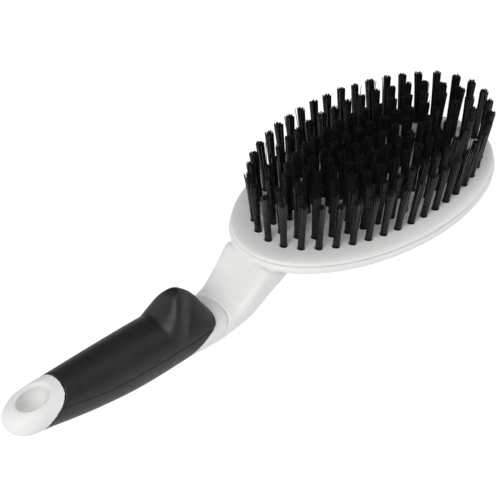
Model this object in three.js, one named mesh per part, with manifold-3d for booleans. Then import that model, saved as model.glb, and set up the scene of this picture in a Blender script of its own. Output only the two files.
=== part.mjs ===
// Oval pet grooming brush: bristle plate, head shell with swan neck, handle core with hanging hole, soft grip
// and the bristle tufts. Millimetres. Everything is drawn in the plate's own axes (origin on the plate's face
// at the middle of the tuft ovals, +X to the head's tip, +Z along the bristles) and then laid on its back.
import * as THREE from 'three';
import { mergeVertices } from 'three/addons/utils/BufferGeometryUtils.js';
import Module from 'manifold-3d';

const wasm = await Module();
wasm.setup();

// ---- driving dimensions ----
const GAP = 0.3;                    // clearance between pieces that touch

const FIELD_X = 54;                 // outer oval of tufts, half length
const FIELD_Y = 28.04;              // outer oval of tufts, half width

const PLATE_CENTRE_X = -2.2;
const PLATE_X = 62.0;               // plate outline, half length
const PLATE_Y = 36.6;               // plate outline, half width
const PLATE_EDGE = 2.4;             // thickness of the plate at its edge, where it sits on the shell's rim
const WEB_UNDERSIDE = -3.2;         // underside of the drilled web, which drops inside the rim
const RIM_WALL = 3.4;               // width of the shell's rim
const SHELL_INSET = 1.0;            // the dome starts this far inside the plate's outline
const DOME_TOP = -5.7;              // and at this height

// Edge of the plate as [inset from the outline, height], from the face over the edge and in under the web.
const PLATE_PROFILE = [[7, 0], [3.2, -0.25], [1.6, -0.65], [0.7, -1.2], [0.5, -1.7], [0.75, -2.15],
  [1.1, -PLATE_EDGE], [RIM_WALL + GAP, -PLATE_EDGE], [RIM_WALL + GAP, WEB_UNDERSIDE]];
// Rim of the shell in the same terms: a bead under a cove that parts it from the plate.
const RIM_PROFILE = [[1.0, -PLATE_EDGE - GAP], [0.4, -3.0], [0, -3.7], [0, -4.4], [0.3, -5.1]];
const OVAL_SIDES = 48;

const DOME_DEPTH = 12.2;            // depth of the domed back below that
const DOME_FULLNESS = 2.8;          // how square-shouldered the dome is; 2 would be a parabola
const DOME_NECK_FULLNESS = 0.5;     // more than that towards the neck, less towards the tip
const DOME_WALL = 2.4;
const DOME_SCALES = [1, 0.96, 0.9, 0.8, 0.68, 0.52, 0.34, 0.14];

const TILT = THREE.MathUtils.degToRad(8.2);     // the plate leans nose down when the brush lies on its back
const LAND = new THREE.Vector3(23, 0, -15.95);   // centre of the flat land that the head rests on

const TUFT_RADIUS = 1.3;
const TUFT_TIP_RADIUS = 1.65;
const TUFT_HEIGHT = 21.9;
const TUFT_ROOT = -4.2;             // where the roots end, behind the web
const TUFT_SIDES = 6;
const SPLAY_X = 0.12;               // outward lean of the outer oval
const SPLAY_Y = 0.167;
// Ovals of tufts from the outside in: half length, half width, number of tufts, how far round the first one
// stands, in pitches, and how many pieces the oval is drawn in. Neighbouring ovals are staggered.
const OVALS = [
  { halfX: FIELD_X, halfY: FIELD_Y, count: 40, phase: 0.21, pieces: 40 },
  { halfX: 47.0, halfY: 21.0, count: 34, phase: 0.18, pieces: 6 },
  { halfX: 40.2, halfY: 13.9, count: 28, phase: 0.48, pieces: 5 },
  { halfX: 32.5, halfY: 6.5, count: 22, phase: 0.6, pieces: 4 },
];
const MIDDLE_COUNT = 7;             // single row down the middle
const MIDDLE_PITCH = 6.6;
const MIDDLE_CENTRE_X = -1.8;
const LINK_WIDTH = 1.8;             // link that joins neighbouring roots behind the web
const LINK_DEPTH = 1.0;

const SEAM_TOP = [-78.4, -18];      // the neck meets the collar on a leaning flat, seen from the side
const SEAM_FOOT = [-85.9, -30.6];
const TANG_START = -77.6;           // inside the neck
const TANG_END = -102.2;            // inside the handle
const TANG_HEIGHT = -25;
const TANG_HALF = [5.0, 2.7];       // half width and half height
const TANG_SQUARE = 0.62;
const GRIP_WALL = 2.8;
const NOSE_START = -166;            // the handle's end rounds off from here
const NOSE_LENGTH = 10.6;
const NOSE_DROP = 1.5;              // and leans downwards by this
const HOLE_X = -164.6;
const HOLE_HALF = [6.2, 4.8];       // hanging hole, half length and half width
const BOSS_WALL = 1.8;              // white wall round the hole where it passes the tail of the grip

// The neck from inside the head to the seam: its top and under sides seen from the side, its half width, and
// how square its section is (1 is an ellipse, less is squarer).
const NECK = [
  { top: [-55, -8], under: [-36, -12.2], half: 7, square: 0.8 },
  { top: [-59.5, -6], under: [-45, -12.5], half: 10, square: 0.65 },
  { top: [-63.4, -4.0], under: [-53.5, -12.9], half: 12.2, square: 0.42 },
  { top: [-66.4, -7.0], under: [-59.8, -16.6], half: 11.9, square: 0.38 },
  { top: [-69.2, -11.2], under: [-64.6, -20.4], half: 11.5, square: 0.38 },
  { top: [-72.8, -14.7], under: [-69.4, -24.2], half: 11.1, square: 0.44 },
  { top: [-76.2, -16.9], under: [-76, -27.6], half: 10.7, square: 0.62 },
  { top: [-79.6, -17.9], under: [-88, -30.9], half: 10.45, square: 0.78 },
];

// The handle in the same terms, each as knots along x.
const HANDLE_TOP = [[-176.6, -15.8], [-170, -15.4], [-163, -14.1], [-152, -12.9], [-137, -12], [-121, -11.4],
  [-106, -11.3], [-98, -13.2], [-90, -16.2], [-84, -17.7], [-76, -17.9]];
const HANDLE_UNDER = [[-176.6, -28], [-170, -28.4], [-162, -29.6], [-152, -31.6], [-140, -33.2],
  [-125, -34.1], [-110, -33.5], [-98, -32], [-86, -30.7], [-76, -29.7]];
const HANDLE_HALF = [[-176.6, 8.6], [-166, 8.8], [-152, 9.2], [-137, 9.9], [-121, 10.5], [-106, 10.6],
  [-93, 10.6], [-76, 10.45]];
const HANDLE_SQUARE = [[-176.6, 0.95], [-100, 0.9], [-88, 0.82], [-76, 0.78]];
// The finger stop on the grip is the higher, blended, of a blunt stop as wide as the handle at its back and
// a ridge with flat sloping cheeks in front of it: heights along x, and how far round the top each reaches.
const STOP = [[-112, 0], [-108, 0.3], [-105, 3.8], [-101.5, 9], [-98, 11.4], [-95, 10.4], [-92, 7.6],
  [-89, 3.6], [-87, 1.2], [-85, 0]];
const STOP_SPREAD = [[-112, 1.3], [-105, 1.12], [-103, 1], [-101.5, 0.9], [-99.8, 0.76], [-97.5, 0.58],
  [-94.5, 0.39], [-92, 0.28], [-88, 0.18], [-85, 0.15]];
const STOP_FADE = 3;
const RIDGE = [[-106, 0], [-102, 1.6], [-100, 3.4], [-97.5, 5.8], [-94.5, 8], [-92, 8.6], [-89, 7.1],
  [-87, 4.8], [-85, 2.2], [-83.2, 0.5], [-82, 0]];
const RIDGE_SPREAD = 0.8;
const RIDGE_FADE = 1.3;
const BLEND = 4;

// Side views of the two curves where the grip ends on the white core.
const GRIP_FRONT = [[-83.6, -16], [-84.4, -17.4], [-86.2, -19], [-90, -21.3], [-94, -24.2], [-98, -27],
  [-104, -30], [-112, -33], [-118, -35.5]];
const GRIP_REAR = [[-153.0, -12], [-154.4, -15.3], [-157.2, -18.6], [-161.4, -22], [-166, -26.6],
  [-171.5, -34], [-173, -36]];

// How finely the pieces are drawn.
const NECK_SIDES = 20;
const HANDLE_SIDES = 40;
const BAR_SIDES = 20;
const HOLE_SEGMENTS = 10;
const HANDLE_STATIONS = [-176.3, -175, -172.5, -169, -164, -156, -146, -134, -122, -112, -109, -107, -105,
  -103, -101, -99, -97, -95, -93, -91, -89, -87, -85, -83, -80, -77];
const BAR_STATIONS = [-171, -158, -146, -134, -122, -110, -98, -88, -78];

// Reach of the cutting bodies beyond the brush.
const SLAB_HALF = 45;
const ABOVE_HANDLE = 8;
const BELOW_HANDLE = -40;
const HANDLE_END_X = -180;
const HEAD_TO_HANDLE = 210;

const WHITE = { color: 0xe9e7e2, roughness: 0.35, metalness: 0 };
const BLACK_SOFT = { color: 0x1d1d1e, roughness: 0.7, metalness: 0 };
const BLACK_BRISTLE = { color: 0x0b0b0c, roughness: 0.45, metalness: 0 };

// ---- geometry helpers ----

// Smooth curve through [x, value] knots, read at x.
function through(knots) {
  return (x) => {
    const last = knots.length - 1;
    if (x <= knots[0][0]) return knots[0][1];
    if (x >= knots[last][0]) return knots[last][1];
    const i = knots.findIndex((knot, k) => k < last && x <= knots[k + 1][0]);
    const [x0, v0] = knots[i];
    const [x1, v1] = knots[i + 1];
    const slope = (k) => {
      const a = knots[Math.max(k - 1, 0)];
      const b = knots[Math.min(k + 1, last)];
      return (b[1] - a[1]) / (b[0] - a[0]);
    };
    const t = (x - x0) / (x1 - x0);
    const h = x1 - x0;
    const t2 = t * t;
    const t3 = t2 * t;
    return (2 * t3 - 3 * t2 + 1) * v0 + (t3 - 2 * t2 + t) * h * slope(i)
      + (3 * t2 - 2 * t3) * v1 + (t3 - t2) * h * slope(i + 1);
  };
}

// Closed solid through a stack of rings with equal counts; each end is closed by a fan to its centre.
function loft(rings) {
  const count = rings[0].length;
  const points = rings.flat();
  const index = [];
  for (let r = 0; r + 1 < rings.length; r += 1) {
    for (let i = 0; i < count; i += 1) {
      const a = r * count + i;
      const b = r * count + (i + 1) % count;
      index.push(a, b, b + count, a, b + count, a + count);
    }
  }
  const centre = (ring) => ring.reduce((sum, p) => sum.add(p), new THREE.Vector3()).divideScalar(count);
  const first = points.push(centre(rings[0])) - 1;
  const last = points.push(centre(rings.at(-1))) - 1;
  const top = (rings.length - 1) * count;
  for (let i = 0; i < count; i += 1) {
    const j = (i + 1) % count;
    index.push(j, i, first, top + i, top + j, last);
  }
  const geometry = new THREE.BufferGeometry();
  geometry.setAttribute('position', new THREE.Float32BufferAttribute(points.flatMap((p) => p.toArray()), 3));
  geometry.setIndex(index);
  return facingOut(geometry);
}

// Turns every triangle over when the mesh encloses a negative volume.
function facingOut(geometry) {
  const position = geometry.attributes.position;
  const index = geometry.index.array;
  const [a, b, c] = [new THREE.Vector3(), new THREE.Vector3(), new THREE.Vector3()];
  let volume = 0;
  for (let i = 0; i < index.length; i += 3) {
    a.fromBufferAttribute(position, index[i]);
    b.fromBufferAttribute(position, index[i + 1]);
    c.fromBufferAttribute(position, index[i + 2]);
    volume += a.dot(b.cross(c));
  }
  if (volume < 0) index.reverse();
  return geometry;
}

function solid(geometry) {
  const bare = geometry.clone();
  bare.deleteAttribute('normal');
  bare.deleteAttribute('uv');
  const merged = mergeVertices(bare, 1e-5);
  const vertProperties = new Float32Array(merged.attributes.position.array);
  const triVerts = new Uint32Array(merged.index.array);
  return new wasm.Manifold(new wasm.Mesh({ numProp: 3, vertProperties, triVerts }));
}

function toGeometry(manifold) {
  const mesh = manifold.getMesh();
  const geometry = new THREE.BufferGeometry();
  geometry.setAttribute('position', new THREE.BufferAttribute(mesh.vertProperties, 3));
  geometry.setIndex(new THREE.BufferAttribute(mesh.triVerts, 1));
  return geometry;
}

function named(name, geometry, finish) {
  geometry.computeVertexNormals();
  const mesh = new THREE.Mesh(geometry, new THREE.MeshStandardMaterial(finish));
  mesh.name = name;
  return mesh;
}

// Oval ring about the plate's centre.
function ovalRing(halfX, halfY, z) {
  return Array.from({ length: OVAL_SIDES }, (_, i) => {
    const t = (2 * Math.PI * i) / OVAL_SIDES;
    return new THREE.Vector3(PLATE_CENTRE_X + halfX * Math.cos(t), halfY * Math.sin(t), z);
  });
}

// Ring that follows the plate's outline, drawn in by an inset.
function plateRing(inset, z) {
  return ovalRing(PLATE_X - inset, PLATE_Y - inset, z);
}

// ---- tuft layout ----

// Points spaced evenly along an ellipse, the first one phase pitches past +X.
function evenlyRound({ halfX, halfY, count, phase }) {
  const steps = 1440;
  const length = [0];
  const angle = (i) => (2 * Math.PI * i) / steps;
  for (let i = 1; i <= steps; i += 1) {
    const dx = halfX * (Math.cos(angle(i)) - Math.cos(angle(i - 1)));
    const dy = halfY * (Math.sin(angle(i)) - Math.sin(angle(i - 1)));
    length.push(length[i - 1] + Math.hypot(dx, dy));
  }
  return Array.from({ length: count }, (_, k) => {
    const wanted = ((k + phase) / count) * length[steps];
    const t = angle(length.findIndex((s) => s >= wanted));
    return [halfX * Math.cos(t), halfY * Math.sin(t)];
  });
}

// A tuft stands at (x, y) on the face and leans outwards in proportion to its distance from the middle.
function tuftAt([x, y]) {
  const lean = new THREE.Vector3((SPLAY_X * x) / FIELD_X, (SPLAY_Y * y) / FIELD_Y, 1).normalize();
  return { foot: new THREE.Vector3(x, y, 0), lean };
}

const OVAL_SPOTS = OVALS.map((oval) => evenlyRound(oval).map(tuftAt));
const MIDDLE_SPOTS = Array.from({ length: MIDDLE_COUNT },
  (_, i) => tuftAt([MIDDLE_CENTRE_X + (i - (MIDDLE_COUNT - 1) / 2) * MIDDLE_PITCH, 0]));

// Ring of points round a tuft's axis, at a height measured along it from the face.
function roundTuft({ foot, lean }, height, radius) {
  const across = new THREE.Vector3(1, 0, 0).cross(lean).normalize();
  const along = across.clone().cross(lean);
  const centre = foot.clone().addScaledVector(lean, height);
  return Array.from({ length: TUFT_SIDES }, (_, i) => {
    const t = (2 * Math.PI * i) / TUFT_SIDES;
    return centre.clone().addScaledVector(across, radius * Math.cos(t))
      .addScaledVector(along, radius * Math.sin(t));
  });
}

function tuft(spot) {
  return loft([roundTuft(spot, TUFT_ROOT, TUFT_RADIUS), roundTuft(spot, TUFT_HEIGHT, TUFT_TIP_RADIUS)]);
}

// ---- bristle plate ----

function platePiece() {
  const body = solid(loft(PLATE_PROFILE.map(([inset, z]) => plateRing(inset, z))));
  const holes = [...OVAL_SPOTS.flat(), ...MIDDLE_SPOTS].map((spot) => solid(loft([
    roundTuft(spot, TUFT_ROOT, TUFT_RADIUS + GAP),
    roundTuft(spot, -TUFT_ROOT, TUFT_RADIUS + GAP),
  ])));
  return toGeometry(body.subtract(wasm.Manifold.compose(holes)));
}

// ---- tufts ----

// Flat link from the root of one tuft to the root of the next.
function rootLink(from, to) {
  const [a, b] = [from, to].map(({ foot, lean }) => foot.clone().addScaledVector(lean, TUFT_ROOT));
  const across = b.clone().sub(a).cross(new THREE.Vector3(0, 0, 1)).setLength(LINK_WIDTH / 2);
  const corners = (centre) => [[1, 1], [-1, 1], [-1, -1], [1, -1]].map(([side, up]) => centre.clone()
    .addScaledVector(across, side).add(new THREE.Vector3(0, 0, (up * LINK_DEPTH) / 2)));
  return solid(loft([corners(a), corners(b)]));
}

// A run of neighbouring tufts, joined from root to root.
function tuftRun(spots) {
  const links = spots.slice(1).map((spot, i) => rootLink(spots[i], spot));
  return toGeometry(wasm.Manifold.union([...spots.map((spot) => solid(tuft(spot))), ...links]));
}

// Splits a list into runs whose lengths differ by one at most.
function runs(list, count) {
  return Array.from({ length: count }, (_, k) => list.slice(
    Math.round((k * list.length) / count), Math.round(((k + 1) * list.length) / count)));
}

// ---- head shell with neck and tang ----

// Domed back: an oval that shrinks as it deepens, drawn from its rim down to its lowest point. The shoulders
// are fuller towards the neck.
function dome(inset, top, depth) {
  return DOME_SCALES.map((scale) => {
    const ring = ovalRing(scale * (PLATE_X - inset), scale * (PLATE_Y - inset), 0);
    ring.forEach((p) => {
      const towardsTip = (p.x - PLATE_CENTRE_X) / (scale * (PLATE_X - inset));
      const fullness = DOME_FULLNESS - DOME_NECK_FULLNESS * towardsTip;
      p.z = top - depth * (1 - scale ** fullness);
    });
    return ring;
  });
}

// Rounded box section; across is the half width, upward reaches from the centre to the top.
function roundedRing(centre, upward, across, square, sides) {
  const pull = (v) => Math.sign(v) * Math.abs(v) ** square;
  return Array.from({ length: sides }, (_, i) => {
    const t = (2 * Math.PI * (i + 0.5)) / sides;
    return centre.clone().addScaledVector(upward, pull(Math.sin(t)))
      .add(new THREE.Vector3(0, across * pull(Math.cos(t)), 0));
  });
}

function neckRing({ top, under, half, square }) {
  const high = new THREE.Vector3(top[0], 0, top[1]);
  const low = new THREE.Vector3(under[0], 0, under[1]);
  const upward = high.clone().sub(low).multiplyScalar(0.5);
  return roundedRing(low.add(upward), upward, half, square, NECK_SIDES);
}

// Everything inside an outline drawn in the side view, as a slab across the whole brush.
function sideSlab(outline) {
  const shape = new THREE.Shape(outline.map(([x, z]) => new THREE.Vector2(x, z)));
  const slab = new THREE.ExtrudeGeometry(shape, { depth: 2 * SLAB_HALF, bevelEnabled: false });
  slab.rotateX(Math.PI / 2);
  slab.translate(0, SLAB_HALF, 0);
  return solid(slab);
}

function shift(points, dx) {
  return points.map(([x, z]) => [x + dx, z]);
}

// Everything from the seam, moved along by an offset, to farX on one side of it.
function besideSeam(offset, farX) {
  const along = (t) => THREE.MathUtils.lerp(SEAM_TOP[0], SEAM_FOOT[0], t) + offset;
  const height = (t) => THREE.MathUtils.lerp(SEAM_TOP[1], SEAM_FOOT[1], t);
  const [above, below] = [-1, 2];
  return sideSlab([[along(above), height(above)], [along(below), height(below)], [farX, height(below)],
    [farX, height(above)]]);
}

// Everything under the surface that the brush lies on.
function belowGround() {
  const [dx, dz] = [HEAD_TO_HANDLE * Math.cos(TILT), HEAD_TO_HANDLE * Math.sin(TILT)];
  const deep = LAND.z - HEAD_TO_HANDLE;
  return sideSlab([[LAND.x - dx, LAND.z - dz], [LAND.x + dx, LAND.z + dz], [LAND.x + dx, deep],
    [LAND.x - dx, deep]]);
}

// Straight bar along the handle for the tang, and with growth for its socket.
function tangBar(growth) {
  const upward = new THREE.Vector3(0, 0, TANG_HALF[1] + growth);
  return solid(loft([TANG_START, TANG_END - 2 * growth].map((x) => roundedRing(
    new THREE.Vector3(x, 0, TANG_HEIGHT), upward, TANG_HALF[0] + growth, TANG_SQUARE, NECK_SIDES))));
}

function shellPiece() {
  const above = -WEB_UNDERSIDE;
  const rings = RIM_PROFILE.map(([inset, z]) => plateRing(inset, z));
  const outside = solid(loft([...rings, ...dome(SHELL_INSET, DOME_TOP, DOME_DEPTH)]));
  const hollow = [plateRing(RIM_WALL, above), ...dome(RIM_WALL, DOME_TOP, DOME_DEPTH - DOME_WALL)];
  const cavity = solid(loft(hollow));
  const plateSpace = solid(loft([plateRing(-GAP, above), plateRing(-GAP, -PLATE_EDGE - GAP)]));
  const neck = solid(loft(NECK.map(neckRing))).subtract(plateSpace).subtract(besideSeam(0, HANDLE_END_X));
  const body = outside.add(neck.subtract(cavity)).subtract(cavity).add(tangBar(0));
  return toGeometry(body.subtract(belowGround()));
}

// ---- handle ----

const handleTop = through(HANDLE_TOP);
const handleUnder = through(HANDLE_UNDER);
const handleHalf = through(HANDLE_HALF);
const handleSquare = through(HANDLE_SQUARE);
const stopHeight = through(STOP);
const stopSpread = through(STOP_SPREAD);
const ridgeHeight = through(RIDGE);

// Section across the handle at x, drawn in by an inset, with a share of the grip's finger stop on top.
function handleRing(x, inset, hump, sides) {
  const past = Math.max(0, NOSE_START - x) / NOSE_LENGTH;
  const nose = Math.sqrt(Math.max(0, 1 - past * past));
  const centre = (handleTop(x) + handleUnder(x)) / 2 - past * NOSE_DROP;
  const rise = ((handleTop(x) - handleUnder(x)) / 2 - inset) * nose;
  const across = (handleHalf(x) - inset) * nose;
  const ring = roundedRing(new THREE.Vector3(x, 0, centre), new THREE.Vector3(0, 0, rise), across,
    handleSquare(x), sides);
  ring.forEach((p) => {
    const fromTop = Math.abs(Math.atan2(p.y / across, (p.z - centre) / rise));
    const stop = Math.max(0, stopHeight(x)) * Math.exp(-((fromTop / stopSpread(x)) ** STOP_FADE));
    const ridge = Math.max(0, ridgeHeight(x)) * Math.exp(-((fromTop / RIDGE_SPREAD) ** RIDGE_FADE));
    p.z += hump * (stop ** BLEND + ridge ** BLEND) ** (1 / BLEND);
  });
  return ring;
}

function handleBody(hump) {
  return solid(loft(HANDLE_STATIONS.map((x) => handleRing(x, 0, hump, HANDLE_SIDES))));
}

// The core's bar inside the grip, and with a smaller inset the bore that it runs in.
function bar(inset) {
  return solid(loft(BAR_STATIONS.map((x) => handleRing(x, inset, 0, BAR_SIDES))));
}

// Where the grip lies over the core, seen from the side.
function gripRegion(growth) {
  const front = shift(GRIP_FRONT, growth);
  const rear = shift(GRIP_REAR, -growth).reverse();
  return sideSlab([[front[0][0], ABOVE_HANDLE], ...front, ...rear, [rear.at(-1)[0], ABOVE_HANDLE]]);
}

// The hanging hole, straight down through the end cap.
function hangingHole(growth) {
  const oval = new THREE.Shape().absellipse(HOLE_X, 0, HOLE_HALF[0] + growth, HOLE_HALF[1] + growth);
  const body = new THREE.ExtrudeGeometry(oval, {
    depth: ABOVE_HANDLE - BELOW_HANDLE, bevelEnabled: false, curveSegments: HOLE_SEGMENTS });
  body.translate(0, 0, BELOW_HANDLE);
  return solid(body);
}

function gripPiece() {
  return toGeometry(handleBody(1).intersect(gripRegion(0)).subtract(bar(GRIP_WALL))
    .subtract(hangingHole(BOSS_WALL + GAP)).subtract(belowGround()));
}

function corePiece() {
  const aheadOfSeam = besideSeam(-GAP, PLATE_CENTRE_X);
  const boss = handleBody(0).intersect(hangingHole(BOSS_WALL));
  const ends = handleBody(0).subtract(gripRegion(GAP)).add(boss);
  return toGeometry(ends.add(bar(GRIP_WALL + GAP)).subtract(aheadOfSeam).subtract(hangingHole(0))
    .subtract(tangBar(GAP)).subtract(belowGround()));
}

// ---- assembly ----

const brush = new THREE.Group();
brush.add(named('bristle_plate', platePiece(), WHITE));
brush.add(named('head_shell', shellPiece(), WHITE));
brush.add(named('handle_core', corePiece(), WHITE));
brush.add(named('grip_sleeve', gripPiece(), BLACK_SOFT));
OVALS.forEach(({ pieces }, ring) => {
  runs(OVAL_SPOTS[ring], pieces).forEach((spots, i) => {
    brush.add(named(`tufts_${ring + 1}_${String(i + 1).padStart(2, '0')}`, tuftRun(spots), BLACK_BRISTLE));
  });
});
brush.add(named('tufts_middle', tuftRun(MIDDLE_SPOTS), BLACK_BRISTLE));

// Lay the brush down: the plate leans nose down and the middle of the land comes to the origin.
brush.rotation.y = TILT;
brush.position.copy(LAND).negate().applyEuler(brush.rotation);
export default brush;
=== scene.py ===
"""Looks for the bristle brush: white moulded head and handle core, soft black grip, and tufts made of
single filaments, on a pale floor in soft studio light. Shapes are drawn in millimetres in the plate's own
axes (origin on the plate's face, +X to the head's tip, +Z along the bristles) and brought into the CAD's
frame in metres."""
import math
import random

import bmesh
import bpy
import numpy as np
from mathutils import Matrix, Vector
from mathutils.geometry import delaunay_2d_cdt


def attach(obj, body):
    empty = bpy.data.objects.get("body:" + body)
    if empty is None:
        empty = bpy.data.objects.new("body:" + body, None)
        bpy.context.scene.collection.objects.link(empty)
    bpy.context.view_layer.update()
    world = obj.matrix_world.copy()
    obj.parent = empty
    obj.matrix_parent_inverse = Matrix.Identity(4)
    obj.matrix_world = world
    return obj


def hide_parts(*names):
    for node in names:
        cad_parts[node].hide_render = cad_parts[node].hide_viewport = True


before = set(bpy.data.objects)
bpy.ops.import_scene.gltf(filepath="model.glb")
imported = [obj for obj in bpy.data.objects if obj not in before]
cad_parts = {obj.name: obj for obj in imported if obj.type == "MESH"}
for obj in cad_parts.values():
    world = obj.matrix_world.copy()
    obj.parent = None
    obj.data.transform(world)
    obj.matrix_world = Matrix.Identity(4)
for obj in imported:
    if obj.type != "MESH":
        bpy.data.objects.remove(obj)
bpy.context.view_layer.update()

# ---- dimensions, the same as the CAD's, with finer edges ----
MM = 0.001
TILT = math.radians(8.2)              # the plate leans nose down when the brush lies on its back
LAND = np.array([23.0, 0.0, -15.95])  # centre of the flat land that the head rests on
GAP = 0.3                             # clearance between pieces that touch

FIELD = (54.0, 28.04)     # outer oval of tufts, half length and half width
PLATE_CENTRE_X = -2.2
PLATE_HALF = (62.0, 36.6)
PLATE_EDGE = 2.4          # thickness of the plate at its edge, where it sits on the shell's rim
WEB_UNDERSIDE = -3.2      # underside of the drilled web, which drops inside the rim
RIM_WALL = 3.4            # width of the shell's rim
SHELL_INSET = 1.0         # the dome starts this far inside the plate's outline
RIM_ROLL = 7.0            # the face starts to roll down this far inside the outline
FACE_EDGE = (0.5, 1.7)    # and is vertical at this inset and depth
RIM_SQUARENESS = 2.4
# Plate edge under that and the bead of the shell's rim, as (inset, height); a cove lies between them.
EDGE_RETURN = [(0.56, -1.95), (0.72, -2.2), (0.95, -2.36), (1.25, -2.4)]
RIM_PROFILE = [(1.35, -2.5), (1.0, -2.58), (0.62, -2.75), (0.3, -3.05), (0.08, -3.45), (0, -3.95),
               (0.04, -4.4), (0.25, -4.95), (0.6, -5.4)]
DOME_TOP = -5.7
DOME_DEPTH = 12.2
DOME_FULLNESS = 2.8       # how square-shouldered the domed back is; 2 would be a parabola
DOME_NECK_FULLNESS = 0.5  # more than that towards the neck, less towards the tip

TUFT_RADIUS = 1.3
TUFT_TIP_RADIUS = 1.65
TUFT_HEIGHT = 21.9
SPLAY = (0.12, 0.167)     # outward lean of the outer oval
# Ovals of tufts from the outside in: half length, half width, count, phase in pitches, number of pieces.
OVALS = [
    (54.0, 28.04, 40, 0.21, 40),
    (47.0, 21.0, 34, 0.18, 6),
    (40.2, 13.9, 28, 0.48, 5),
    (32.5, 6.5, 22, 0.6, 4),
]
MIDDLE_COUNT = 7          # single row down the middle
MIDDLE_PITCH = 6.6
MIDDLE_CENTRE_X = -1.8

SEAM_TOP = (-78.4, -18.0)     # the neck meets the collar on a leaning flat, seen from the side
SEAM_FOOT = (-85.9, -30.6)
GRIP_WALL = 2.8
NOSE_START = -166.0           # the handle's end rounds off from here
NOSE_LENGTH = 10.6
NOSE_DROP = 1.5
HANDLE_SPAN = (-176.3, -77.0)
HANDLE_END = -180             # past the end of the handle
BAR_SPAN = (-171, -78)        # the core's bar inside the grip
BOSS_END = -150               # the white wall round the hole lies behind this
HOLE_X = -164.6
HOLE_HALF = (6.2, 4.8)
HOLE_ROUNDING = (2.0, 0.9)    # at its upper and lower mouth
BOSS_WALL = 1.8               # white wall round the hole where it passes the tail of the grip

# Neck rings from inside the head to the seam: top point, under point, half width, squareness.
NECK = [
    ((-55, -8), (-36, -12.2), 7, 0.8),
    ((-59.5, -6), (-45, -12.5), 10, 0.65),
    ((-63.4, -4.0), (-53.5, -12.9), 12.2, 0.42),
    ((-66.4, -7.0), (-59.8, -16.6), 11.9, 0.38),
    ((-69.2, -11.2), (-64.6, -20.4), 11.5, 0.38),
    ((-72.8, -14.7), (-69.4, -24.2), 11.1, 0.44),
    ((-76.2, -16.9), (-76, -27.6), 10.7, 0.62),
    ((-79.6, -17.9), (-88, -30.9), 10.45, 0.78),
]
HANDLE_TOP = [(-176.6, -15.8), (-170, -15.4), (-163, -14.1), (-152, -12.9), (-137, -12), (-121, -11.4),
              (-106, -11.3), (-98, -13.2), (-90, -16.2), (-84, -17.7), (-76, -17.9)]
HANDLE_UNDER = [(-176.6, -28), (-170, -28.4), (-162, -29.6), (-152, -31.6), (-140, -33.2), (-125, -34.1),
                (-110, -33.5), (-98, -32), (-86, -30.7), (-76, -29.7)]
HANDLE_HALF = [(-176.6, 8.6), (-166, 8.8), (-152, 9.2), (-137, 9.9), (-121, 10.5), (-106, 10.6),
               (-93, 10.6), (-76, 10.45)]
HANDLE_SQUARE = [(-176.6, 0.95), (-100, 0.9), (-88, 0.82), (-76, 0.78)]
# The finger stop on the grip is the higher, blended, of a blunt stop as wide as the handle at its back and
# a ridge with flat sloping cheeks in front of it: heights along x, and how far round the top each reaches.
STOP = [(-112, 0), (-108, 0.3), (-105, 3.8), (-101.5, 9), (-98, 11.4), (-95, 10.4), (-92, 7.6), (-89, 3.6),
        (-87, 1.2), (-85, 0)]
STOP_SPREAD = [(-112, 1.3), (-105, 1.12), (-103, 1), (-101.5, 0.9), (-99.8, 0.76), (-97.5, 0.58),
               (-94.5, 0.39), (-92, 0.28), (-88, 0.18), (-85, 0.15)]
STOP_FADE = 3
RIDGE = [(-106, 0), (-102, 1.6), (-100, 3.4), (-97.5, 5.8), (-94.5, 8), (-92, 8.6), (-89, 7.1), (-87, 4.8),
         (-85, 2.2), (-83.2, 0.5), (-82, 0)]
RIDGE_SPREAD = 0.8
RIDGE_FADE = 1.3
BLEND = 4
# Side views of the two curves where the grip ends on the white core.
GRIP_FRONT = [(-83.6, -16), (-84.4, -17.4), (-86.2, -19), (-90, -21.3), (-94, -24.2), (-98, -27),
              (-104, -30), (-112, -33), (-118, -35.5)]
GRIP_REAR = [(-153.0, -12), (-154.4, -15.3), (-157.2, -18.6), (-161.4, -22), (-166, -26.6),
             (-171.5, -34), (-173, -36)]
# Parting line along each side of the grip: heights along x, and its section as (distance across, depth).
PARTING = [(-176, -18.2), (-155.4, -19.4), (-146, -20.9), (-137.5, -21.8), (-128, -21.8), (-119, -21.5),
           (-110, -21.1), (-102, -20.9), (-96, -21.2), (-90, -20.9), (-82, -20.3)]
PARTING_SHAPE = [(-0.34, 0.0), (-0.17, 0.07), (-0.05, 0.2), (0.05, 0.2), (0.17, 0.07), (0.34, 0.0)]
PARTING_STATIONS = np.linspace(-176, -82, 95)

# ---- camera: where it stands about the plate's face, in the plate's axes ----
CAMERA_AZIMUTH = -0.763639
CAMERA_ELEVATION = 0.674174
CAMERA_ROLL = 0.0454172
CAMERA_DISTANCE = 891.9
CAMERA_TARGET = np.array([-63.53, -1.81, 0.0])
CAMERA_LENS = 173.4
CAMERA_SENSOR = 36

# ---- studio: lights in the CAD's frame, metres and watts ----
WORLD_LIGHT = 0.15
FLOOR_GLOW = 0.95
FLOOR_HALF = 3.0
LIT_POINT = (-0.08, 0.0, 0.02)
# Name, place, size and power of each light.
LIGHTS = [
    ("key", (-1.34, -0.58, 1.24), (1.2, 1.2), 27.0),
    ("front", (-0.20, -1.20, 0.45), (1.0, 0.5), 0.6),
    ("right", (0.95, -0.25, 0.52), (0.9, 0.6), 5.2),
    ("back", (-0.80, 0.95, 0.45), (0.8, 0.6), 2.6),
    ("overhead", (-0.30, -0.45, 1.10), (0.9, 0.9), 3.4),
]


# ---- frames and curves ----

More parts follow.
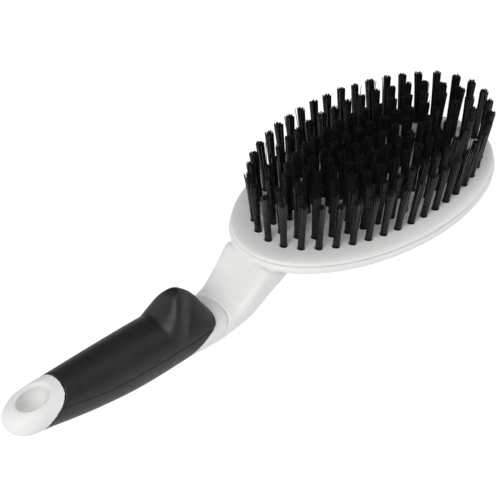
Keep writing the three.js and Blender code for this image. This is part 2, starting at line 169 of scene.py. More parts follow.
def to_row(points):
    """Points in the plate's axes, millimetres, as points in the CAD's frame, metres."""
    p = np.asarray(points, float) - LAND
    c, s = math.cos(TILT), math.sin(TILT)
    return np.stack([c * p[..., 0] + s * p[..., 2], p[..., 1], -s * p[..., 0] + c * p[..., 2]], -1) * MM


def turn_to_row(direction):
    """A direction in the plate's axes as one in the CAD's frame."""
    return to_row(np.asarray(direction, float) + LAND) / MM


def through(knots):
    """Smooth curve through (x, value) knots, as a function of one x or an array."""
    xs = np.array([k[0] for k in knots], float)
    vs = np.array([k[1] for k in knots], float)
    slopes = np.empty(len(xs))
    slopes[1:-1] = (vs[2:] - vs[:-2]) / (xs[2:] - xs[:-2])
    slopes[0] = (vs[1] - vs[0]) / (xs[1] - xs[0])
    slopes[-1] = (vs[-1] - vs[-2]) / (xs[-1] - xs[-2])

    def read(x):
        x = np.clip(np.asarray(x, float), xs[0], xs[-1])
        i = np.clip(np.searchsorted(xs, x) - 1, 0, len(xs) - 2)
        h = xs[i + 1] - xs[i]
        t = (x - xs[i]) / h
        return ((2 * t**3 - 3 * t**2 + 1) * vs[i] + (t**3 - 2 * t**2 + t) * h * slopes[i]
                + (3 * t**2 - 2 * t**3) * vs[i + 1] + (t**3 - t**2) * h * slopes[i + 1])
    return read


def mesh_object(name, points, faces):
    """A mesh piece from points in the plate's axes."""
    mesh = bpy.data.meshes.new(name)
    mesh.from_pydata(to_row(points).tolist(), [], [tuple(int(i) for i in f) for f in faces])
    mesh.validate()
    obj = bpy.data.objects.new(name, mesh)
    bpy.context.scene.collection.objects.link(obj)
    return obj


def joined_rings(first, second, count):
    """Quads between two closed rings of count points that start at these indices."""
    return [(first + i, first + (i + 1) % count, second + (i + 1) % count, second + i)
            for i in range(count)]


def grid_faces(rows, count, first=0):
    """Quads between consecutive rings of count points each."""
    faces = []
    for r in range(rows - 1):
        faces += joined_rings(first + r * count, first + (r + 1) * count, count)
    return faces


def loft(rings):
    """Points and faces of a solid through equal rings, its two ends closed by fans."""
    rings = [np.asarray(r, float) for r in rings]
    count = len(rings[0])
    points = list(np.concatenate(rings))
    faces = grid_faces(len(rings), count)
    points.append(rings[0].mean(0))
    points.append(rings[-1].mean(0))
    last = (len(rings) - 1) * count
    for i in range(count):
        j = (i + 1) % count
        faces.append((j, i, len(points) - 2))
        faces.append((last + i, last + j, len(points) - 1))
    return np.array(points), faces


def face_outwards(obj):
    bm = bmesh.new()
    bm.from_mesh(obj.data)
    bmesh.ops.recalc_face_normals(bm, faces=bm.faces)
    bm.to_mesh(obj.data)
    bm.free()


def solid(name, rings):
    obj = mesh_object(name, *loft(rings))
    face_outwards(obj)
    return obj


def apply_modifiers(obj):
    """Replaces the object's mesh by what its modifiers make of it."""
    graph = bpy.context.evaluated_depsgraph_get()
    made = bpy.data.meshes.new_from_object(obj.evaluated_get(graph))
    old = obj.data
    obj.modifiers.clear()
    obj.data = made
    bpy.data.meshes.remove(old)


def combine(obj, other, operation):
    """Boolean of two closed solids; the second is used up."""
    modifier = obj.modifiers.new(operation, "BOOLEAN")
    modifier.object = other
    modifier.operation = operation
    modifier.solver = "MANIFOLD"
    apply_modifiers(obj)
    mesh = other.data
    bpy.data.objects.remove(other)
    bpy.data.meshes.remove(mesh)


def remesh(obj, size, relax):
    """Even skin of small quads over a solid, relaxed so that its edges turn soft."""
    modifier = obj.modifiers.new("skin", "REMESH")
    modifier.mode = "VOXEL"
    modifier.voxel_size = size * MM
    apply_modifiers(obj)
    modifier = obj.modifiers.new("relax", "SMOOTH")
    modifier.factor = 0.5
    modifier.iterations = relax
    apply_modifiers(obj)


def shade(obj, angle=None):
    """Smooth shading, with creases kept sharp above an angle in degrees."""
    obj.data.polygons.foreach_set("use_smooth", [True] * len(obj.data.polygons))
    if angle is not None:
        obj.data.set_sharp_from_angle(angle=math.radians(angle))
    obj.data.update()


def finish_piece(obj, material, slot, *nodes):
    obj.data.materials.clear()
    obj.data.materials.append(material)
    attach(obj, "root")
    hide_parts(*nodes)
    return obj


# ---- materials ----

class Nodes:
    """Short way to write a node material on one Principled shader."""

    def __init__(self, name):
        self.material = bpy.data.materials.new(name)
        self.material.use_nodes = True
        self.tree = self.material.node_tree
        self.shader = self.tree.nodes["Principled BSDF"]
        self.place = self.tree.nodes.new("ShaderNodeTexCoord").outputs["Object"]

    def link(self, source, target):
        self.tree.links.new(source, target)

    def stretched(self, scale):
        node = self.tree.nodes.new("ShaderNodeMapping")
        node.inputs["Scale"].default_value = scale
        self.link(self.place, node.inputs["Vector"])
        return node.outputs["Vector"]

    def noise(self, scale, detail=2.0, vector=None):
        node = self.tree.nodes.new("ShaderNodeTexNoise")
        node.inputs["Scale"].default_value = scale
        node.inputs["Detail"].default_value = detail
        self.link(vector or self.place, node.inputs["Vector"])
        return node.outputs["Fac"]

    def cells(self, scale):
        node = self.tree.nodes.new("ShaderNodeTexVoronoi")
        node.inputs["Scale"].default_value = scale
        self.link(self.place, node.inputs["Vector"])
        return node.outputs["Distance"]

    def ramp(self, value, low, high, start=0.3, end=0.7):
        """Colours from low to high as a value goes from start to end."""
        node = self.tree.nodes.new("ShaderNodeValToRGB")
        node.color_ramp.elements[0].position = start
        node.color_ramp.elements[1].position = end
        node.color_ramp.elements[0].color = (*low, 1)
        node.color_ramp.elements[1].color = (*high, 1)
        self.link(value, node.inputs["Fac"])
        return node.outputs["Color"]

    def range(self, value, low, high, start=0.3, end=0.7):
        node = self.tree.nodes.new("ShaderNodeMapRange")
        node.inputs["From Min"].default_value = start
        node.inputs["From Max"].default_value = end
        node.inputs["To Min"].default_value = low
        node.inputs["To Max"].default_value = high
        self.link(value, node.inputs["Value"])
        return node.outputs["Result"]

    def bump(self, height, distance, under=None):
        """Bump of a real height in metres, on top of another bump."""
        node = self.tree.nodes.new("ShaderNodeBump")
        node.inputs["Distance"].default_value = distance
        node.inputs["Strength"].default_value = 1.0
        self.link(height, node.inputs["Height"])
        if under is not None:
            self.link(under, node.inputs["Normal"])
        return node.outputs["Normal"]


def white_plastic():
    """Moulded satin white plastic: faint warm tone, hardly visible flow marks, fine spark texture."""
    n = Nodes("white_plastic")
    tone = n.ramp(n.noise(38, 4), (0.660, 0.656, 0.646), (0.695, 0.691, 0.681))
    n.link(tone, n.shader.inputs["Base Color"])
    n.link(n.range(n.noise(260, 5), 0.34, 0.46), n.shader.inputs["Roughness"])
    flow = n.bump(n.noise(90, 2), 0.00005)
    n.link(n.bump(n.noise(2600, 2), 0.000005, under=flow), n.shader.inputs["Normal"])
    n.shader.inputs["Subsurface Weight"].default_value = 0.08
    n.shader.inputs["Subsurface Radius"].default_value = (0.0016, 0.0015, 0.0013)
    n.shader.inputs["Subsurface Scale"].default_value = 1.0
    n.shader.inputs["Specular IOR Level"].default_value = 0.24
    return n.material


def soft_grip():
    """Black soft-touch rubber: fine pebbled skin, a little dust that lifts the tone in patches."""
    n = Nodes("soft_grip")
    tone = n.ramp(n.noise(120, 6), (0.0060, 0.0059, 0.0059), (0.0100, 0.0098, 0.0094))
    n.link(tone, n.shader.inputs["Base Color"])
    n.link(n.range(n.noise(420, 4), 0.44, 0.56), n.shader.inputs["Roughness"])
    pebbles = n.bump(n.cells(2300), 0.000016)
    n.link(n.bump(n.noise(5200, 2), 0.000008, under=pebbles), n.shader.inputs["Normal"])
    n.shader.inputs["Specular IOR Level"].default_value = 0.38
    return n.material


def bristle():
    """Black nylon: each strand's tone and gloss drift along its length."""
    n = Nodes("bristle")
    along = n.stretched((1.0, 1.0, 0.08))
    tone = n.ramp(n.noise(2400, 2, along), (0.0015, 0.0015, 0.0015), (0.0100, 0.0098, 0.0094))
    n.link(tone, n.shader.inputs["Base Color"])
    n.link(n.range(n.noise(900, 3), 0.22, 0.38), n.shader.inputs["Roughness"])
    n.link(n.bump(n.noise(6000, 2), 0.000006), n.shader.inputs["Normal"])
    n.shader.inputs["Specular IOR Level"].default_value = 0.5
    return n.material


# ---- tuft layout ----

OVAL_SAMPLES = 1441


def evenly_round(half_x, half_y, count, phase):
    """Points spaced evenly along an ellipse, the first one phase pitches past +X."""
    t = np.linspace(0, 2 * math.pi, OVAL_SAMPLES)
    line = np.stack([half_x * np.cos(t), half_y * np.sin(t)], -1)
    length = np.concatenate([[0], np.cumsum(np.hypot(*np.diff(line, axis=0).T))])
    wanted = (np.arange(count) + phase) / count * length[-1]
    return np.stack([np.interp(wanted, length, line[:, 0]), np.interp(wanted, length, line[:, 1])], -1)


def lean_at(spots):
    """Unit directions of the tufts that stand at these spots."""
    lean = np.stack([SPLAY[0] * spots[:, 0] / FIELD[0], SPLAY[1] * spots[:, 1] / FIELD[1],
                     np.ones(len(spots))], -1)
    return lean / np.linalg.norm(lean, axis=1)[:, None]


OVAL_SPOTS = [evenly_round(*oval[:4]) for oval in OVALS]
MIDDLE_STEPS = np.arange(MIDDLE_COUNT) - (MIDDLE_COUNT - 1) / 2
MIDDLE_SPOTS = np.stack([MIDDLE_CENTRE_X + MIDDLE_STEPS * MIDDLE_PITCH, np.zeros(MIDDLE_COUNT)], -1)
ALL_SPOTS = np.concatenate(OVAL_SPOTS + [MIDDLE_SPOTS])


# ---- bristle plate ----

HOLE_SIDES = 20
HOLE_MOUTH = 1.75         # radius of the chamfer round each tuft
HOLE_THROAT = 1.5
HOLE_CHAMFER = 0.25
HOLE_CLEAR = 0.7          # points between the holes stay this far from their mouths
PLATE_SIDES = 180
PLATE_CREASE = 28         # degrees; sharper edges stay crisp
# Rings of mesh points over the face between the holes, as (inset, number of points).
FACE_RINGS = [(4.2, 150), (5.0, 130), (5.9, 110), (7.2, 90), (11, 70), (18, 50), (25, 36), (31, 26)]


def plate_ring(inset, z, sides=PLATE_SIDES):
    """A ring at height z, inset from the plate's outline."""
    t = 2 * math.pi * np.arange(sides) / sides
    return np.stack([PLATE_CENTRE_X + (PLATE_HALF[0] - inset) * np.cos(t),
                     (PLATE_HALF[1] - inset) * np.sin(t), np.full(sides, float(z))], -1)


def inset_of(x, y):
    """How far inside the plate's outline points lie, on the family of rings that plate_ring draws."""
    low, high = np.full(len(x), -5.0), np.full(len(x), PLATE_HALF[1] - 0.01)
    for _ in range(40):
        mid = (low + high) / 2
        outside = ((x - PLATE_CENTRE_X) / (PLATE_HALF[0] - mid))**2 + (y / (PLATE_HALF[1] - mid))**2 > 1
        high = np.where(outside, mid, high)
        low = np.where(outside, low, mid)
    return (low + high) / 2


def face_height(inset):
    """Height of the face, which is flat in the middle and rolls down at the rim."""
    edge, drop = FACE_EDGE
    out = np.clip(1 - (inset - edge) / (RIM_ROLL - edge), 0, 1)
    return -drop * (1 - (1 - out**RIM_SQUARENESS)**(1 / RIM_SQUARENESS))


def plate_web():
    """Flat triangulation of the plate inside the rim, with a round hole at every tuft."""
    edge = plate_ring(RIM_WALL + GAP, 0)[:, :2]
    circle = 2 * math.pi * np.arange(HOLE_SIDES) / HOLE_SIDES
    rings = [spot + HOLE_MOUTH * np.stack([np.cos(circle), np.sin(circle)], -1) for spot in ALL_SPOTS]
    fill = np.concatenate([plate_ring(inset, 0, sides)[:, :2] for inset, sides in FACE_RINGS])
    apart = np.linalg.norm(fill[:, None] - ALL_SPOTS[None], axis=2).min(1)
    fill = fill[apart > HOLE_MOUTH + HOLE_CLEAR]
    points = np.concatenate([edge] + rings + [fill])
    loops = [(0, len(edge))] + [(len(edge) + k * HOLE_SIDES, HOLE_SIDES) for k in range(len(rings))]
    edges = [(start + i, start + (i + 1) % n) for start, n in loops for i in range(n)]
    _, _, triangles, _, _, _ = delaunay_2d_cdt([Vector(p) for p in points], edges, [], 0, 1e-6)
    kept = []
    for triangle in triangles:
        middle = points[list(triangle)].mean(0)
        in_hole = np.linalg.norm(ALL_SPOTS - middle, axis=1).min() < HOLE_MOUTH * 0.97
        if not in_hole:
            kept.append(tuple(triangle))
    return points, kept, loops


def plate_piece(material):
    """The plate: face that rolls down at its edge, flat underside, and a chamfered bore for each tuft."""
    flat, triangles, loops = plate_web()
    count = len(flat)
    inset = inset_of(flat[:, 0], flat[:, 1])
    top = np.column_stack([flat, face_height(inset)])
    under = np.column_stack([flat, np.full(count, WEB_UNDERSIDE)])
    lean = lean_at(ALL_SPOTS)
    for k, (start, n) in enumerate(loops[1:]):
        centre = np.append(ALL_SPOTS[k], 0) + lean[k] * WEB_UNDERSIDE
        under[start:start + n, :2] += (centre - under[start:start + n].mean(0))[:2]
    points = [top, under]
    faces = triangles + [tuple(count + i for i in reversed(t)) for t in triangles]
    total = 2 * count
    for k, (start, n) in enumerate(loops[1:]):
        middle = top[start:start + n].mean(0)
        throat = middle + (top[start:start + n] - middle) * HOLE_THROAT / HOLE_MOUTH - [0, 0, HOLE_CHAMFER]
        points.append(throat)
        for i in range(n):
            j = (i + 1) % n
            faces.append((start + i, total + i, total + j, start + j))
            faces.append((total + i, count + start + i, count + start + j, total + j))
        total += n
    inner = RIM_WALL + GAP
    roll = inner + (FACE_EDGE[0] - inner) * np.linspace(0, 1, 19)[1:]
    rings = [plate_ring(i, z) for i, z in zip(roll, face_height(roll))]
    rings += [plate_ring(i, z) for i, z in EDGE_RETURN + [(inner, -PLATE_EDGE)]]
    start = total
    points += rings
    faces += joined_rings(0, start, PLATE_SIDES)
    faces += grid_faces(len(rings), PLATE_SIDES, start)
    faces += joined_rings(start + (len(rings) - 1) * PLATE_SIDES, count, PLATE_SIDES)
    obj = mesh_object("plate_moulding", np.concatenate(points), faces)
    face_outwards(obj)
    shade(obj, PLATE_CREASE)
    return finish_piece(obj, material, "white_plastic", "bristle_plate")


# ---- head shell and neck ----

CUT_TOP = 8               # cutters reach up to here, above every moulding
SLAB_HALF = 45            # and this far to each side
GROUND_REACH = 210        # and under the ground this far along the brush and down
DOME_SCALES = 1 - np.linspace(0, 0.98, 60)**1.6   # rings of the dome, closer together at the rim
SHELL_SKIN = (0.30, 3)    # size of the mesh's quads, and how often it is relaxed


def dome_ring(scale, inset, top, depth, sides=PLATE_SIDES):
    """Ring of the domed back at a share of its outline, the deeper the smaller it is."""
    t = 2 * math.pi * np.arange(sides) / sides
    fullness = DOME_FULLNESS - DOME_NECK_FULLNESS * np.cos(t)
    z = top - depth * (1 - scale**fullness)
    return np.stack([PLATE_CENTRE_X + scale * (PLATE_HALF[0] - inset) * np.cos(t),
                     scale * (PLATE_HALF[1] - inset) * np.sin(t), z], -1)


def section(centre, upward, across, square, sides):
    """Rounded box section; upward reaches from the centre to the top."""
    t = 2 * math.pi * (np.arange(sides) + 0.5) / sides
    lift = np.sign(np.sin(t)) * np.abs(np.sin(t))**square
    side = np.sign(np.cos(t)) * np.abs(np.cos(t))**square
    sideways = np.array([0, across, 0])
    return np.asarray(centre) + lift[:, None] * np.asarray(upward) + side[:, None] * sideways


def neck_rings(steps=40, sides=72):
    """Sections of the neck on smooth curves through its knots."""
    knots = np.arange(len(NECK))
    tracks = [through(list(zip(knots, values))) for values in zip(
        *[(top[0], top[1], under[0], under[1], half, square) for top, under, half, square in NECK])]
    rings = []
    for s in np.linspace(0, len(NECK) - 1, steps):
        top_x, top_z, under_x, under_z, half, square = [float(track(s)) for track in tracks]
        centre = np.array([top_x + under_x, 0, top_z + under_z]) / 2
        upward = np.array([top_x - under_x, 0, top_z - under_z]) / 2
        rings.append(section(centre, upward, half, square, sides))
    return rings


def side_slab(name, outline):
    """Everything inside an outline in the side view, as a slab across the brush."""
    count = len(outline)
    near = [(x, -SLAB_HALF, z) for x, z in outline]
    far = [(x, SLAB_HALF, z) for x, z in outline]
    faces = [tuple(range(count)), tuple(reversed(range(count, 2 * count)))]
    faces += joined_rings(0, count, count)
    obj = mesh_object(name, np.array(near + far), faces)
    face_outwards(obj)
    return obj


def beside_seam(offset, far_x):
    """Everything between the seam's flat, moved by an offset, and far_x."""
    def along(t):
        return (SEAM_TOP[0] + (SEAM_FOOT[0] - SEAM_TOP[0]) * t + offset,
                SEAM_TOP[1] + (SEAM_FOOT[1] - SEAM_TOP[1]) * t)
    above, below = along(-1), along(2)
    return side_slab("seam_side", [above, below, (far_x, below[1]), (far_x, above[1])])


def below_ground():
    """Everything under the surface that the brush lies on."""
    dx, dz = GROUND_REACH * math.cos(TILT), GROUND_REACH * math.sin(TILT)
    x, _, z = LAND
    bottom = z - GROUND_REACH
    return side_slab("ground", [(x - dx, z - dz), (x + dx, z + dz), (x + dx, bottom), (x - dx, bottom)])


def plate_space(name, inset, bottom):
    """The plate's outline as a cutter that reaches down to bottom."""
    return solid(name, [plate_ring(inset, CUT_TOP), plate_ring(inset, bottom)])


def shell_piece(material):
    """The shell: rim bead and domed back, the neck that grows out of them, and the space for the web."""
    rings = [plate_ring(inset, z) for inset, z in RIM_PROFILE]
    rings += [dome_ring(s, SHELL_INSET, DOME_TOP, DOME_DEPTH) for s in DOME_SCALES]
    obj = solid("shell_moulding", rings)
    neck = solid("neck", neck_rings())
    combine(neck, plate_space("plate_space", -GAP, RIM_PROFILE[0][1]), "DIFFERENCE")
    combine(neck, beside_seam(0, HANDLE_END), "DIFFERENCE")
    combine(obj, neck, "UNION")
    combine(obj, plate_space("plug_space", RIM_WALL, DOME_TOP), "DIFFERENCE")
    combine(obj, below_ground(), "DIFFERENCE")
    remesh(obj, *SHELL_SKIN)
    shade(obj)
    return finish_piece(obj, material, "white_plastic", "head_shell")


# ---- handle ----

GRIP_ROLL = 0.45          # radius of the grip's two edges
GRIP_ROWS = 260
GRIP_OVER = 100           # columns of its skin over the top, between the parting lines
GRIP_BELOW = 60           # and under them
GRIP_CREASE = 40
HALVINGS = 30             # steps of a search for a crossing
CORE_ROWS = 130
CORE_CROWDING = 1.4       # rows of the core lie closer together at the handle's end
CORE_SKIN = (0.24, 3)
BAR_SIDES = 64
HOLE_CUT = (-8.0, -40.0)  # top and foot of the plain cutter for the hole

handle_top = through(HANDLE_TOP)
handle_under = through(HANDLE_UNDER)
handle_half = through(HANDLE_HALF)
handle_square = through(HANDLE_SQUARE)
parting_height = through(PARTING)
stop_height = through(STOP)
stop_spread = through(STOP_SPREAD)
ridge_height = through(RIDGE)


def handle_section(x, inset=0.0):
    """Centre height, half height, half width and squareness of the handle's section at x."""
    past = np.maximum(0, NOSE_START - x) / NOSE_LENGTH
    nose = np.sqrt(np.maximum(0, 1 - past * past))
    centre = (handle_top(x) + handle_under(x)) / 2 - past * NOSE_DROP
    rise = ((handle_top(x) - handle_under(x)) / 2 - inset) * nose
    return centre, rise, (handle_half(x) - inset) * nose, handle_square(x)


def handle_points(x, angle, inset=0.0, hump=0.0):
    """Points on the handle's skin at matching arrays of x and angle round the section."""
    x, angle = np.broadcast_arrays(np.asarray(x, float), np.asarray(angle, float))
    centre, rise, across, square = handle_section(x, inset)
    lift = np.sign(np.sin(angle)) * np.abs(np.sin(angle))**square
    side = np.sign(np.cos(angle)) * np.abs(np.cos(angle))**square
    from_top = np.abs(np.arctan2(side, lift))
    stop = stop_height(x) * np.exp(-(from_top / stop_spread(x))**STOP_FADE)
    ridge = ridge_height(x) * np.exp(-(from_top / RIDGE_SPREAD)**RIDGE_FADE)
    raised = (np.maximum(stop, 0)**BLEND + np.maximum(ridge, 0)**BLEND)**(1 / BLEND)
    return np.stack([x, across * side, centre + rise * lift + hump * raised], -1)


def handle_solid(name, xs, inset=0.0, sides=96):
    angle = 2 * math.pi * (np.arange(sides) + 0.5) / sides
    return solid(name, [handle_points(x, angle, inset) for x in xs])


def x_on_curve(knots, angles_at, count):
    """Where, along the handle, each column of the grip's skin crosses a curve drawn in the side view."""
    by_height = through([(z, x) for x, z in reversed(knots)])
    low, high = np.full(count, knots[-1][0] - 2.0), np.full(count, knots[0][0] + 2.0)
    for _ in range(HALVINGS):
        mid = (low + high) / 2
        past = mid > by_height(handle_points(mid, angles_at(mid), 0, 1.0)[:, 2])
        high = np.where(past, mid, high)
        low = np.where(past, low, mid)
    return (low + high) / 2


def parting_angle(x):
    """Angle round the section at which the grip's parting line runs at x."""
    rise = (handle_top(x) - handle_under(x)) / 2
    lift = (parting_height(x) - (handle_top(x) + handle_under(x)) / 2) / rise
    return np.sign(lift) * np.arcsin(np.abs(lift)**(1 / handle_square(x)))


def grip_angles(x):
    """Angles of the columns of the grip's skin at x, close together across the parting line on each side,
    and how deep each column lies in that line."""
    line = float(parting_angle(x))
    radius = float(handle_top(x) - handle_under(x)) / 2
    across = np.array([p for p, _ in PARTING_SHAPE]) / radius
    depth = np.array([d for _, d in PARTING_SHAPE])
    right, left = line + across, math.pi - line + across
    over = np.linspace(right[-1], left[0], GRIP_OVER + 2)[1:-1]
    below = np.linspace(left[-1], right[0] + 2 * math.pi, GRIP_BELOW + 2)[1:-1]
    return (np.concatenate([right, over, left, below]),
            np.concatenate([depth, np.zeros(len(over)), depth[::-1], np.zeros(len(below))]))


def grip_piece(material):
    """The sleeve: outer skin between its two curved ends, rolled edges, and a bore over the core."""
    bend = np.stack([grip_angles(x)[0] for x in PARTING_STATIONS])
    groove = grip_angles(PARTING_STATIONS[0])[1]
    sides = len(groove)

    def angles_at(xs):
        return np.array([np.interp(x, PARTING_STATIONS, column) for x, column in zip(xs, bend.T)])
    front = x_on_curve(GRIP_FRONT, angles_at, sides)
    rear = x_on_curve(GRIP_REAR, angles_at, sides)
    roll = GRIP_ROLL
    turns = np.linspace(0, math.pi / 2, 5)[1:]
    ends = [(front + roll * math.sin(a) - roll, roll * (1 - math.cos(a))) for a in reversed(turns)]
    ends += [((front - roll) + (rear - front + 2 * roll) * u, 0.0) for u in np.linspace(0, 1, GRIP_ROWS)]
    ends += [(rear - roll * math.sin(a) + roll, roll * (1 - math.cos(a))) for a in turns]
    rows = [handle_points(x, angles_at(x), inset + groove, 1.0) for x, inset in ends]
    rows += [handle_points(x, angles_at(x), GRIP_WALL) for x in
             (rear + (front - rear) * u for u in np.linspace(0, 1, 30))]
    points = np.concatenate(rows)
    faces = grid_faces(len(rows), sides)
    faces += joined_rings((len(rows) - 1) * sides, 0, sides)
    obj = mesh_object("grip_sleeve_skin", points, faces)
    face_outwards(obj)
    combine(obj, hanging_hole("hole_for_grip", BOSS_WALL + GAP), "DIFFERENCE")
    combine(obj, below_ground(), "DIFFERENCE")
    shade(obj, GRIP_CREASE)
    return finish_piece(obj, material, "soft_grip", "grip_sleeve")


def skin_height(x, y, side):
    """Height of the handle's top (side 1) or underside (side -1) over points."""
    centre, rise, across, square = handle_section(x)
    cosine = np.clip(np.abs(y) / np.maximum(across, 1e-6), 0, 1)**(1 / square)
    return centre + side * rise * np.sqrt(1 - cosine**2)**square


def hanging_hole(name, growth, rounded=False, sides=64):
    """Cutter for the hanging hole; when rounded, its mouths flare to follow the skin."""
    t = 2 * math.pi * np.arange(sides) / sides

    def oval(outward):
        return (HOLE_X + (HOLE_HALF[0] + growth + outward) * np.cos(t),
                (HOLE_HALF[1] + growth + outward) * np.sin(t))
    if not rounded:
        return solid(name, [np.stack([*oval(0), np.full(sides, z)], -1) for z in HOLE_CUT])
    turns = np.linspace(0, math.pi / 2, 9)
    rings = []
    for side, radius in zip((1, -1), HOLE_ROUNDING):
        flare = [(radius, -3.0), (radius, -0.01)]
        flare += [(radius * (1 - math.sin(a)), radius * (1 - math.cos(a))) for a in turns]
        mouth = []
        for outward, depth in flare:
            x, y = oval(outward)
            mouth.append(np.stack([x, y, skin_height(x, y, side) - side * depth], -1))
        rings += mouth if side == 1 else mouth[::-1]
    return solid(name, rings)


def core_piece(material):
    """The core: collar and end cap, the bar between them inside the grip, and the wall round the hole."""
    xs = HANDLE_SPAN[0] + (HANDLE_SPAN[1] - HANDLE_SPAN[0]) * np.linspace(0, 1, CORE_ROWS)**CORE_CROWDING
    obj = handle_solid("core_moulding", xs)
    front = [(x + GAP, z) for x, z in GRIP_FRONT]
    rear = [(x - GAP, z) for x, z in reversed(GRIP_REAR)]
    grip_space = [(front[0][0], CUT_TOP)] + front + rear + [(rear[-1][0], CUT_TOP)]
    combine(obj, side_slab("grip_space", grip_space), "DIFFERENCE")
    combine(obj, handle_solid("bar", np.linspace(*BAR_SPAN, 40), GRIP_WALL + GAP, BAR_SIDES), "UNION")
    boss = handle_solid("boss", np.linspace(HANDLE_SPAN[0], BOSS_END, 40))
    combine(boss, hanging_hole("boss_outline", BOSS_WALL), "INTERSECT")
    combine(obj, boss, "UNION")
    combine(obj, beside_seam(-GAP, PLATE_CENTRE_X), "DIFFERENCE")
    combine(obj, hanging_hole("hole", 0, rounded=True), "DIFFERENCE")
    combine(obj, below_ground(), "DIFFERENCE")
    remesh(obj, *CORE_SKIN)
    shade(obj)
    return finish_piece(obj, material, "white_plastic", "handle_core")


# ---- tufts ----

STRANDS_PER_RING = (1, 6, 11, 16, 20)
STRAND_RADIUS = 0.15
STRAND_SIDES = 5
STRAND_STEPS = (0.0, 0.35, 0.7, 1.0)
STRAND_FOOT = -1.2        # height at which a strand starts, inside its bore
STRAND_BEND = 1.8         # how late along its length a strand spreads
TUFT_SWAY = 0.22          # spread of each tuft's tip to the sides
TUFT_UNEVEN = 0.15        # and in height
TUFT_SHORTER = 0.3        # mean height of the tips below the tuft's full height
TUFT_FLARE = (0.98, 1.14)     # a tuft opens by its two radii times this
STRAND_FLARE = (0.84, 1.10)   # and each of its strands by this too
STRAND_TURN = 0.06        # spread of the strands round their ring
STRAND_SIDEWAYS = 0.20    # spread of their tips to the side
STRAND_UNEVEN = 0.24      # and in height
OUTER_DROP = 0.30         # the outer strands end this much lower
STRAY_SHARE = 0.05        # outer strands that have strayed from their tuft
STRAY_REACH = (0.4, 1.0)  # and by how much
TUFT_CREASE = 50
TUFT_SEED = 11


def strands(spot, lean, rng):
    """One tuft's filaments as points and faces: tight at the root, spreading and ragged at the tip."""
    across = np.cross([0.0, 1.0, 0.0], lean)
    across /= np.linalg.norm(across)
    along = np.cross(lean, across)
    foot = np.append(spot, 0.0)
    turn = 2 * math.pi * np.arange(STRAND_SIDES) / STRAND_SIDES
    rim = np.cos(turn)[:, None] * across + np.sin(turn)[:, None] * along
    sway = across * rng.gauss(0, TUFT_SWAY) + along * rng.gauss(0, TUFT_SWAY)
    tuft_height = TUFT_HEIGHT + rng.gauss(0, TUFT_UNEVEN) - TUFT_SHORTER
    flare = TUFT_TIP_RADIUS / TUFT_RADIUS * rng.uniform(*TUFT_FLARE)
    points, faces = [], []
    outer = len(STRANDS_PER_RING) - 1
    packed = (TUFT_RADIUS - STRAND_RADIUS) / outer
    for ring, count in enumerate(STRANDS_PER_RING):
        start = rng.uniform(0, 2 * math.pi)
        for k in range(count):
            a = start + 2 * math.pi * k / count + rng.gauss(0, STRAND_TURN)
            out = np.cos(a) * across + np.sin(a) * along
            root_reach = packed * ring
            tip_reach = root_reach * flare * rng.uniform(*STRAND_FLARE)
            side = np.cross(out, lean) * rng.gauss(0, STRAND_SIDEWAYS)
            if ring == outer and rng.random() < STRAY_SHARE:
                tip_reach += rng.uniform(*STRAY_REACH)
            tip_height = tuft_height + rng.gauss(0, STRAND_UNEVEN) - OUTER_DROP * (ring / outer)**2
            first = len(points) * STRAND_SIDES
            for s in STRAND_STEPS:
                height = STRAND_FOOT + (tip_height - STRAND_FOOT) * s
                reach = root_reach + (tip_reach - root_reach) * s**STRAND_BEND
                centre = foot + lean * height + out * reach + (side + sway) * s * s
                points.append(centre + rim * STRAND_RADIUS)
            faces += grid_faces(len(STRAND_STEPS), STRAND_SIDES, first)
            top = first + (len(STRAND_STEPS) - 1) * STRAND_SIDES
            faces.append(tuple(top + i for i in range(STRAND_SIDES)))
            faces.append(tuple(first + i for i in reversed(range(STRAND_SIDES))))
    return np.concatenate(points), faces


def tuft_piece(name, spots, node, material, rng):
    """The tufts at these spots as one piece, in place of one node."""
    points, faces, total = [], [], 0
    for spot, lean in zip(spots, lean_at(spots)):
        p, f = strands(spot, lean, rng)
        points.append(p)
        faces += [tuple(total + i for i in face) for face in f]
        total += len(p)
    obj = mesh_object(name, np.concatenate(points), faces)
    shade(obj, TUFT_CREASE)
    return finish_piece(obj, material, "bristle", node)


def tuft_pieces(material):
    """Every oval of tufts, cut into as many pieces as it has nodes, and the middle row."""
    rng = random.Random(TUFT_SEED)
    for ring, (spots, oval) in enumerate(zip(OVAL_SPOTS, OVALS), start=1):
        pieces = oval[-1]
        cuts = [math.floor(k * len(spots) / pieces + 0.5) for k in range(pieces + 1)]
        for k in range(pieces):
            place = f"{ring}_{k + 1:02d}"
            tuft_piece(f"strands_{place}", spots[cuts[k]:cuts[k + 1]], f"tufts_{place}", material, rng)
    tuft_piece("strands_middle", MIDDLE_SPOTS, "tufts_middle", material, rng)


# ---- stage ----

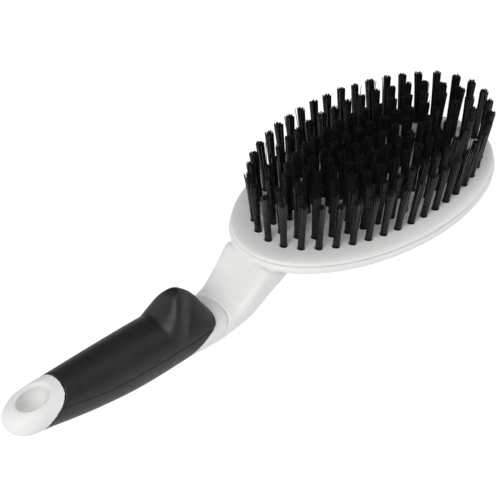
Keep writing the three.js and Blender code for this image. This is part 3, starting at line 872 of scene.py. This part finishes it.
def floor():
    """Pale floor that glows, so that it stays white round the brush."""
    n = Nodes("floor")
    tone = n.ramp(n.noise(3, 2), (0.145, 0.145, 0.145), (0.155, 0.155, 0.155))
    n.link(tone, n.shader.inputs["Base Color"])
    n.shader.inputs["Roughness"].default_value = 0.9
    n.shader.inputs["Specular IOR Level"].default_value = 0.0
    n.shader.inputs["Emission Color"].default_value = (1, 1, 1, 1)
    n.shader.inputs["Emission Strength"].default_value = FLOOR_GLOW
    corners = [(x * FLOOR_HALF, y * FLOOR_HALF, 0) for x, y in ((-1, -1), (1, -1), (1, 1), (-1, 1))]
    mesh = bpy.data.meshes.new("floor")
    mesh.from_pydata(corners, [], [(0, 1, 2, 3)])
    mesh.materials.append(n.material)
    obj = bpy.data.objects.new("floor", mesh)
    bpy.context.scene.collection.objects.link(obj)


def area_light(name, place, target, size, power):
    """Rectangular light at a place, turned to a target."""
    light = bpy.data.lights.new(name, "AREA")
    light.shape = "RECTANGLE"
    light.size, light.size_y = size
    light.energy = power
    obj = bpy.data.objects.new(name, light)
    obj.location = place
    obj.rotation_euler = (Vector(target) - Vector(place)).to_track_quat("-Z", "Y").to_euler()
    bpy.context.scene.collection.objects.link(obj)


def studio():
    """Faint even surroundings and the soft lights."""
    world = bpy.data.worlds.new("studio")
    world.use_nodes = True
    world.node_tree.nodes["Background"].inputs["Color"].default_value = (1, 1, 1, 1)
    world.node_tree.nodes["Background"].inputs["Strength"].default_value = WORLD_LIGHT
    bpy.context.scene.world = world
    for name, place, size, power in LIGHTS:
        area_light(name, place, LIT_POINT, size, power)
    bpy.context.scene.view_settings.view_transform = "Standard"


def camera():
    """Camera placed by its bearing from the plate's face, and rolled."""
    az, el, roll = CAMERA_AZIMUTH, CAMERA_ELEVATION, CAMERA_ROLL
    back = np.array([math.sin(az) * math.cos(el), -math.cos(az) * math.cos(el), math.sin(el)])
    right = np.cross(-back, [0, 0, 1])
    right /= np.linalg.norm(right)
    up = np.cross(right, -back)
    side = math.cos(roll) * right + math.sin(roll) * up
    over = -math.sin(roll) * right + math.cos(roll) * up
    data = bpy.data.cameras.new("camera")
    data.lens = CAMERA_LENS
    data.sensor_width = CAMERA_SENSOR
    data.clip_start = 0.05
    obj = bpy.data.objects.new("camera", data)
    axes = [turn_to_row(v) for v in (side, over, back)]
    place = Matrix([[axes[c][r] for c in range(3)] for r in range(3)]).to_4x4()
    place.translation = Vector(to_row(CAMERA_TARGET + back * CAMERA_DISTANCE))
    obj.matrix_world = place
    bpy.context.scene.collection.objects.link(obj)
    bpy.context.scene.camera = obj


def build():
    white = white_plastic()
    plate_piece(white)
    shell_piece(white)
    core_piece(white)
    grip_piece(soft_grip())
    tuft_pieces(bristle())
    floor()
    studio()
    camera()


build()
